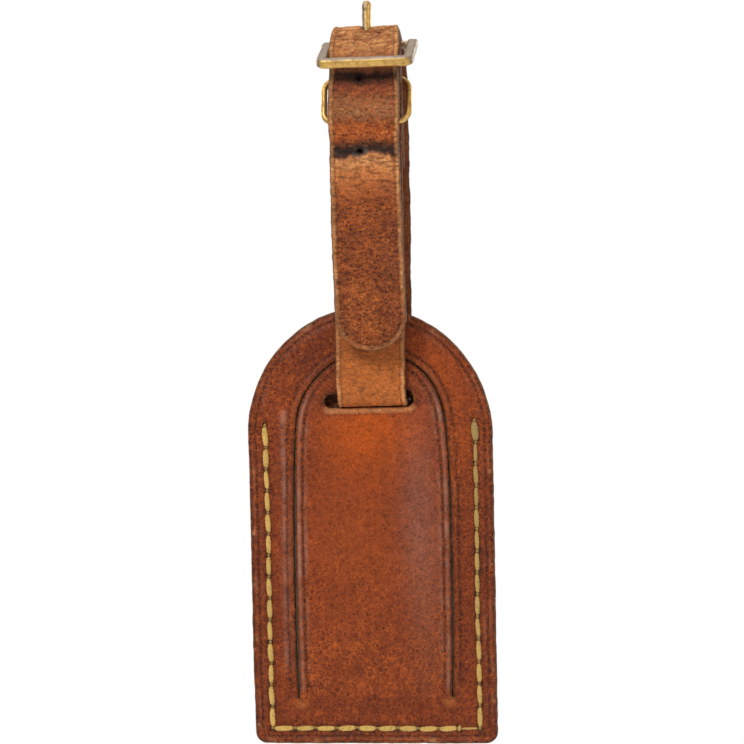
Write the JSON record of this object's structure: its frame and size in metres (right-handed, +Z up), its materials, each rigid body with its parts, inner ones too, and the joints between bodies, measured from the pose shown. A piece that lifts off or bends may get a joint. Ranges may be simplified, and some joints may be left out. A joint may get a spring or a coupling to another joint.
{
  "type": "luggage tag",
  "caption": "Arch-topped stitched leather luggage tag with a tongue flap over a card pocket, on a leather loop strap with a brass buckle and keeper.",
  "frame": {"origin": "middle of the strap loop where a bag handle passes, on the case's mid-plane, 130 mm above the case's bottom edge", "axes": "+Z up from the case towards the buckle, -Y out of the front with the tongue, +X to the right seen from the front"},
  "size_m": [0.0634, 0.0187, 0.1913],
  "materials": {
    "case_leather": "burnished, semi-gloss, crackled",
    "strap_leather": "worn, matt to semi-gloss",
    "thread": "waxed linen thread",
    "brass": "polished with patina",
    "card": "uncoated card"
  },
  "bodies": {
    "strap_loop": {"strap_front_upper": "strap_leather", "strap_rear_upper": "strap_leather", "strap_top_fold": "strap_leather", "fold_stitching": "thread"},
    "case": {"front_panel": "case_leather", "back_panel": "case_leather", "saddle_stitching": "thread", "strap_front_mid": "strap_leather", "strap_front_lower": "strap_leather", "strap_slot_bight": "strap_leather", "strap_rear_lower": "strap_leather"},
    "flap": {"tongue_flap": "case_leather"},
    "card": {"address_card": "card"},
    "strap_tip": {"strap_tip_run": "strap_leather"},
    "buckle_frame": {"buckle_frame": "brass", "buckle_pivot_bar": "brass"},
    "prong": {"buckle_prong": "brass"},
    "keeper": {"keeper_ring": "brass"}
  },
  "joints": [
    {"name": "tag_swing", "type": "hinge", "parent": "strap_loop", "child": "case", "pos_m": [0.0018, 0.0016, 0.012], "axis": [1, 0, 0], "range_deg": [-5, 40]},
    {"name": "flap_lift", "type": "hinge", "parent": "case", "child": "flap", "pos_m": [0, -0.0015, -0.1186], "axis": [1, 0, 0], "range_deg": [0, 2.5], "deforming": ["strap_front_lower", "strap_slot_bight"]},
    {"name": "card_slide", "type": "slide", "parent": "case", "child": "card", "axis": [0, 0, 1], "range_m": [0, 0.0015]},
    {"name": "tip_lift", "type": "hinge", "parent": "strap_loop", "child": "strap_tip", "pos_m": [0.0018, -0.0087, 0.02], "axis": [-1, 0, 0], "range_deg": [0, 60]},
    {"name": "frame_pivot", "type": "hinge", "parent": "strap_loop", "child": "buckle_frame", "pos_m": [0.002, -0.0014, 0.0495], "axis": [1, 0, 0], "range_deg": [-10, 10]},
    {"name": "prong_pivot", "type": "hinge", "parent": "strap_loop", "child": "prong", "pos_m": [0.002, -0.0014, 0.0495], "axis": [1, 0, 0], "range_deg": [-8, 8]},
    {"name": "keeper_slide", "type": "slide", "parent": "strap_loop", "child": "keeper", "axis": [0, 0, 1], "range_m": [-0.004, 0.002]}
  ]
}
